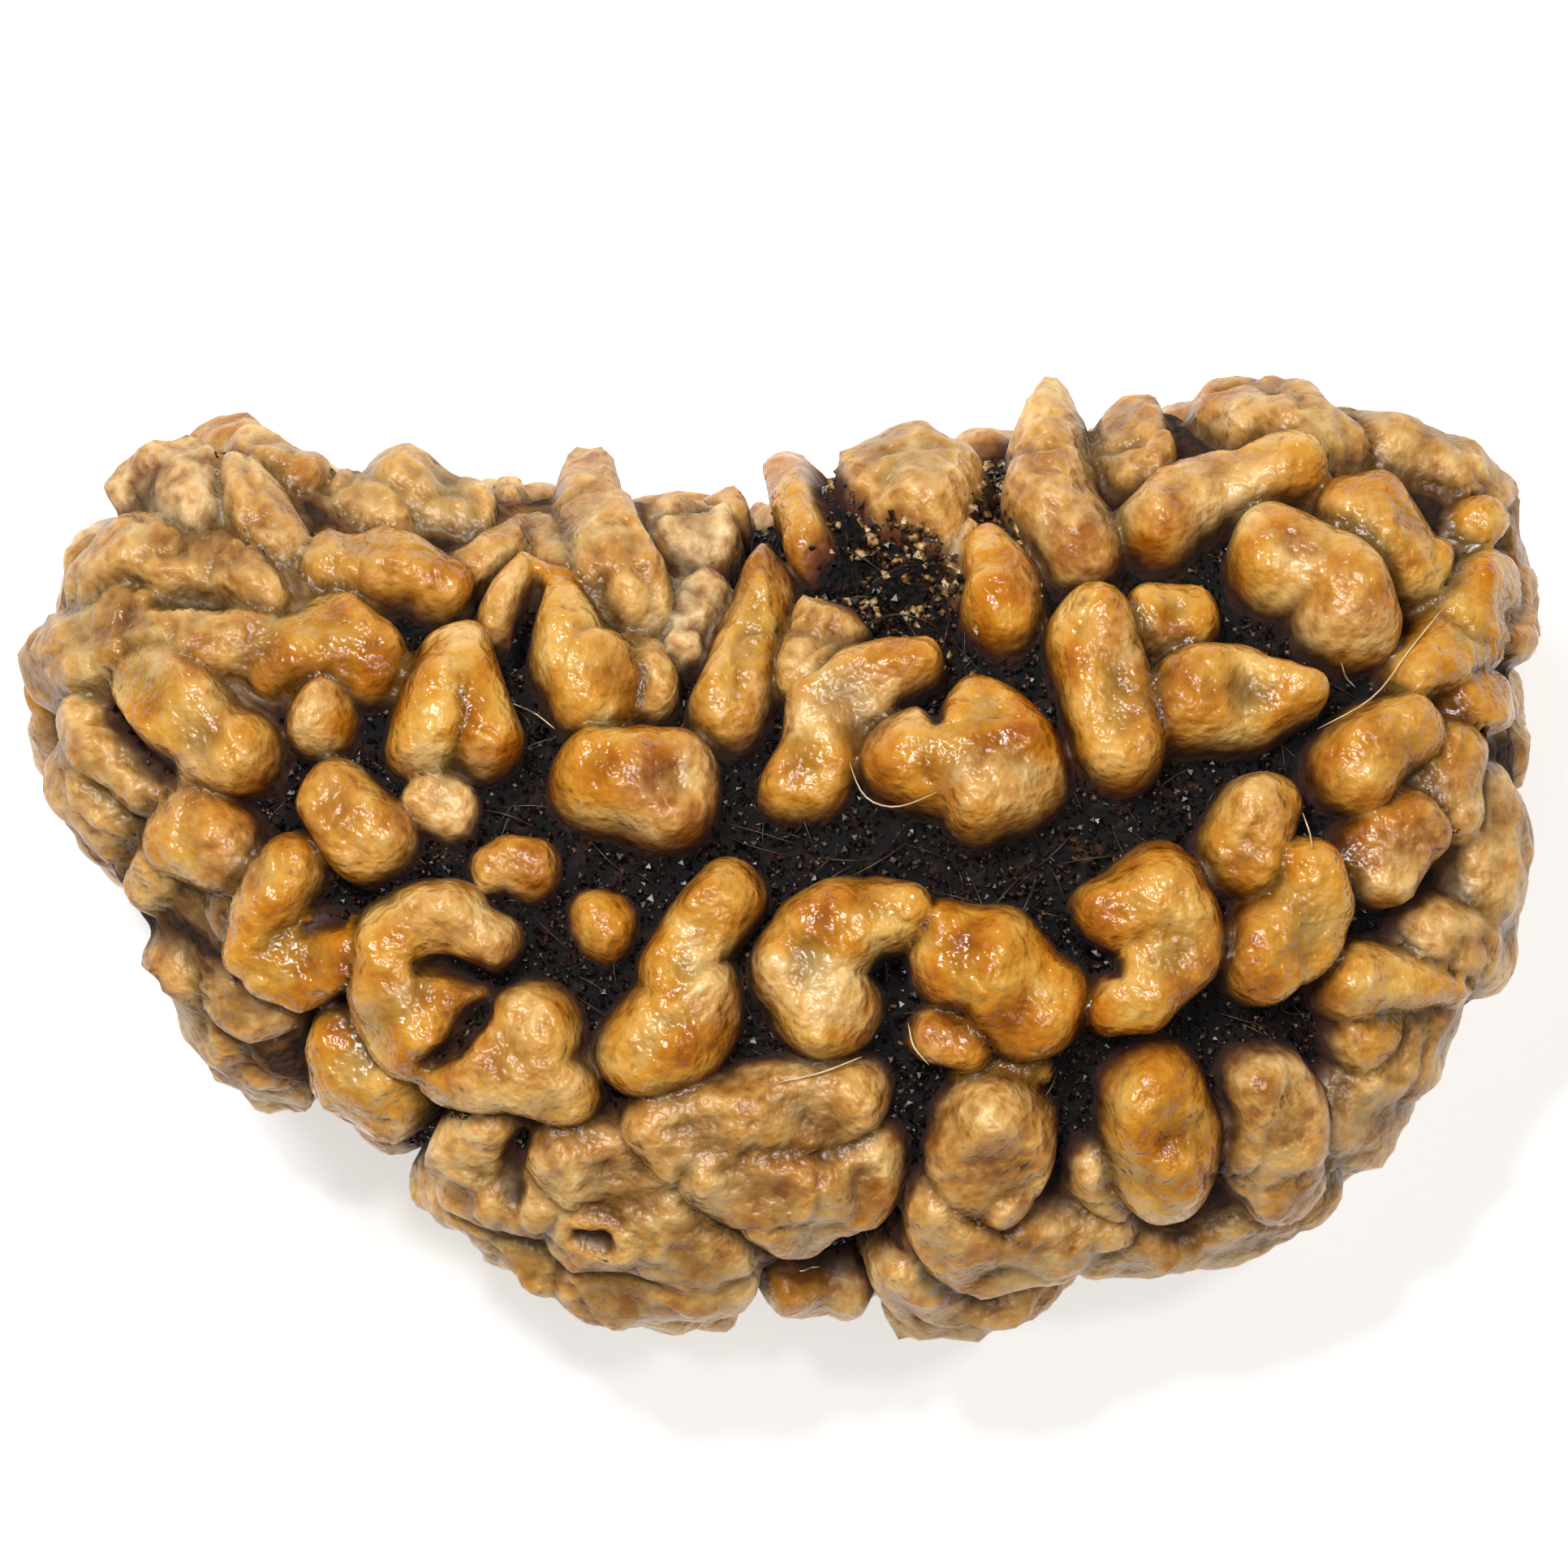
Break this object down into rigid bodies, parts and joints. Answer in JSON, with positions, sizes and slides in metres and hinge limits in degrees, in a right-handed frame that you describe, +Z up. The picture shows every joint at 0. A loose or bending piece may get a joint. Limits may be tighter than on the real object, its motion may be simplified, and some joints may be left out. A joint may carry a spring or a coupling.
{
  "type": "rudraksha bead",
  "caption": "Half-moon rudraksha bead, a dried and oiled fruit stone with rounded knobs over dark grooves, lying on its broad side.",
  "frame": {"origin": "middle of the bounding box, on the ground plane that the bead rests on", "axes": "+X along the bead's length, +Y towards its hollow edge, +Z up, away from the broad side that it rests on"},
  "size_m": [0.0262, 0.0166, 0.0121],
  "materials": {
    "stone": "dried woody fruit stone, oiled to a soft gloss on the knobs, rough and near black in the grooves"
  },
  "bodies": {
    "root": {"bead": "stone"}
  },
  "joints": []
}
